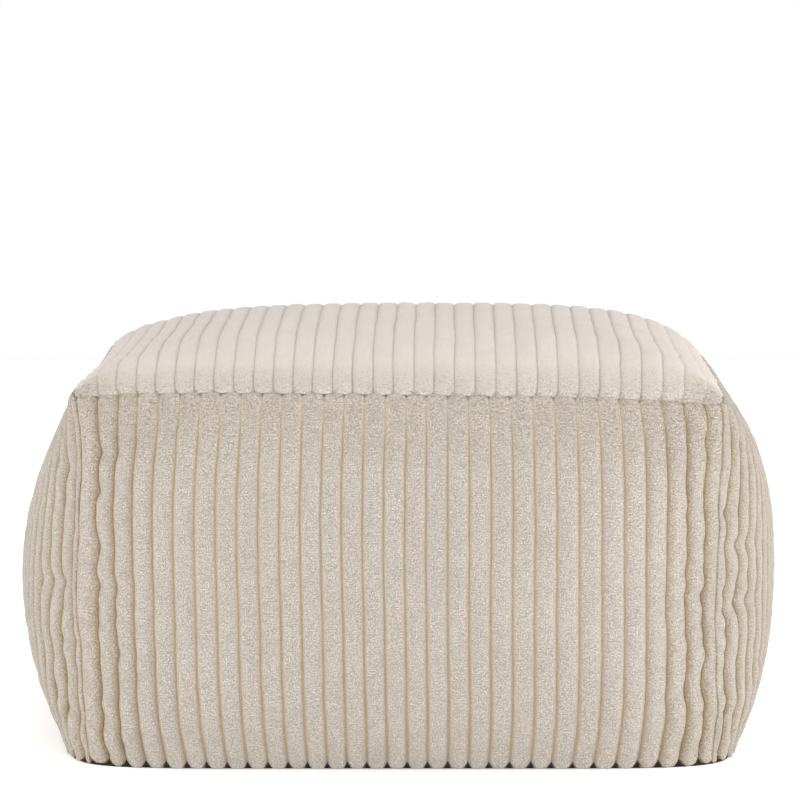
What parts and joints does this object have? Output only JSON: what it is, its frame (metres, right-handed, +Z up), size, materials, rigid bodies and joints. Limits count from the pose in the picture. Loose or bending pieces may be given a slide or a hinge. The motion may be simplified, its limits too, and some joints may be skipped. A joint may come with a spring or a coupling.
{
  "type": "bean bag footstool",
  "caption": "Low square bean bag footstool in wide-ribbed corduroy, with a crowned top, bulging sides, corner seams and a flat dark base cloth.",
  "frame": {"origin": "on the floor, below the middle of the footstool", "axes": "+Z up, -Y towards the front panel, +X towards the right panel; the top panel's ribs run along Y"},
  "size_m": [0.5164, 0.5164, 0.2855],
  "materials": {
    "cord_cloth": "matt fleecy cream beige corduroy with wide soft ribs",
    "base_cloth": "matt dark brown woven base cloth"
  },
  "bodies": {
    "root": {"base_panel": "base_cloth", "front_panel": "cord_cloth", "right_panel": "cord_cloth", "back_panel": "cord_cloth", "left_panel": "cord_cloth", "top_panel": "cord_cloth"}
  },
  "joints": []
}
